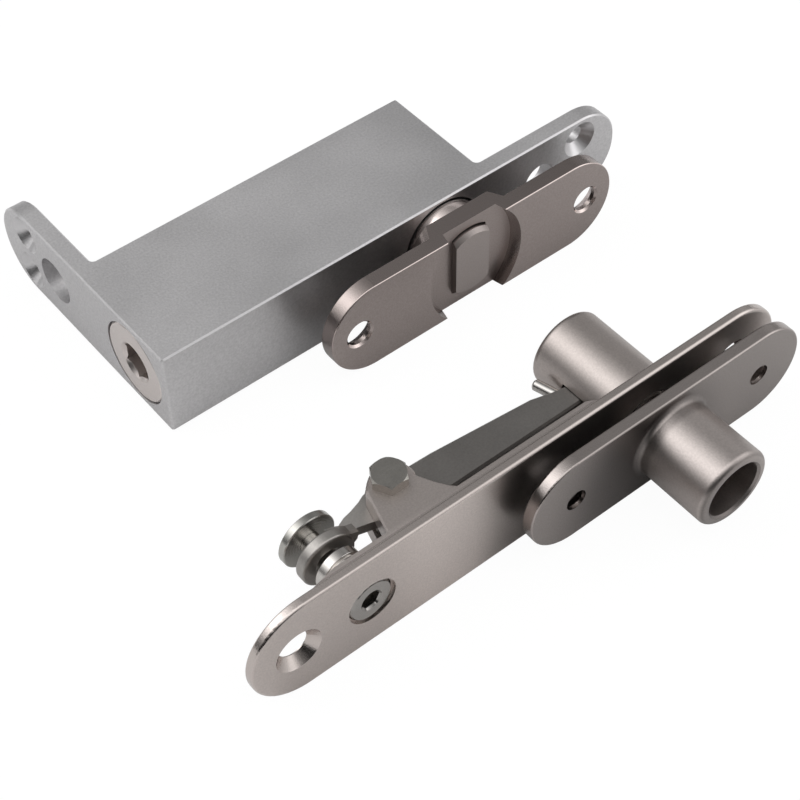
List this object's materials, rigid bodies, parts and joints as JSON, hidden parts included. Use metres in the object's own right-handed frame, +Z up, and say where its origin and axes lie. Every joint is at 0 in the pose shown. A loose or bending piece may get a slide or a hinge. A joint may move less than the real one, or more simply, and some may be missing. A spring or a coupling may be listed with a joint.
{
  "type": "pivot door hinge",
  "caption": "Concealed pivot hinge set: bottom block with flanges, spindle and floor plate, and a top pivot with a lever-lifted pin and a door plate with socket tube.",
  "frame": {"origin": "centre of the set's outline on the surface it lies on", "axes": "+Z up as the two units lie on their sides (door thickness), +X along the plates, +Y the way that is up when the door hangs, along both swing axes"},
  "size_m": [0.151, 0.1548, 0.0255],
  "materials": {
    "blasted_aluminium": "fine blasted and clear anodised",
    "satin_stainless": "satin cast stainless, slightly warm grey",
    "nickel_steel": "turned face, nickel plated",
    "bright_steel": "bright turned steel",
    "plain_steel": "ground steel",
    "spring_steel": "dark oiled spring steel",
    "dark_steel": "cast steel, darker satin",
    "bronze": "bearing bronze"
  },
  "bodies": {
    "base": {"bottom_body": "blasted_aluminium", "brake_spring": "spring_steel", "brake_plunger": "plain_steel", "brake_pad": "bronze", "thrust_washer_body": "plain_steel", "bush_front": "bronze", "bush_rear": "bronze", "rear_cap": "blasted_aluminium", "frame_plate": "satin_stainless", "lever_bolt": "bright_steel", "lever_nut": "bright_steel"},
    "floor_side": {"floor_plate": "satin_stainless", "spindle": "satin_stainless", "thrust_washer_spindle": "plain_steel", "spindle_washer": "plain_steel", "spindle_circlip": "spring_steel"},
    "bearing_cage": {"thrust_cage": "plain_steel", "thrust_rollers": "bright_steel"},
    "plug_seat": {"brake_seat": "plain_steel"},
    "plug": {"brake_plug": "nickel_steel"},
    "lever": {"lever": "dark_steel", "lever_peg": "bright_steel"},
    "pin": {"pivot_pin": "bright_steel"},
    "screw_disc": {"lift_disc": "bright_steel"},
    "screw": {"lift_screw": "bright_steel"},
    "door_side": {"door_plate": "satin_stainless"}
  },
  "joints": [
    {"name": "bottom_swing", "type": "hinge", "parent": "base", "child": "floor_side", "pos_m": [0.02418, 0.01331, 0.01165], "axis": [0, 1, 0], "continuous": true},
    {"name": "cage_turn", "type": "hinge", "parent": "base", "child": "bearing_cage", "pos_m": [0.02418, 0.01481, 0.01165], "axis": [0, 1, 0], "continuous": true},
    {"name": "plug_travel", "type": "slide", "parent": "base", "child": "plug_seat", "axis": [1, 0, 0], "range_m": [0, 0.0035], "deforming": ["brake_spring"]},
    {"name": "plug_turn", "type": "hinge", "parent": "plug_seat", "child": "plug", "pos_m": [-0.04382, 0.02541, 0.01165], "axis": [1, 0, 0], "range_deg": [0, 842]},
    {"name": "lever_swing", "type": "hinge", "parent": "base", "child": "lever", "pos_m": [-0.03098, -0.03691, 0.01275], "axis": [0, 0, 1], "range_deg": [-9.1, 0]},
    {"name": "pin_travel", "type": "slide", "parent": "base", "child": "pin", "axis": [0, 1, 0], "range_m": [-0.0084, 0]},
    {"name": "screw_travel", "type": "slide", "parent": "base", "child": "screw_disc", "axis": [-0.0436, 0.999, 0], "range_m": [0, 0.0028]},
    {"name": "screw_turn", "type": "hinge", "parent": "screw_disc", "child": "screw", "pos_m": [-0.04819, -0.04701, 0.01275], "axis": [-0.0436, 0.999, 0], "range_deg": [0, 1007]},
    {"name": "top_swing", "type": "hinge", "parent": "base", "child": "door_side", "pos_m": [0.02212, -0.05301, 0.01275], "axis": [0, 1, 0], "continuous": true}
  ],
  "couplings": [
    {"joint": "cage_turn", "follows": "bottom_swing", "ratio": 0.5},
    {"joint": "plug_turn", "follows": "plug_travel", "rad_per_m": 4188.8},
    {"joint": "pin_travel", "follows": "lever_swing", "m_per_rad": 0.0528},
    {"joint": "screw_travel", "follows": "lever_swing", "m_per_rad": -0.0176},
    {"joint": "screw_turn", "follows": "lever_swing", "ratio": -110.58}
  ]
}
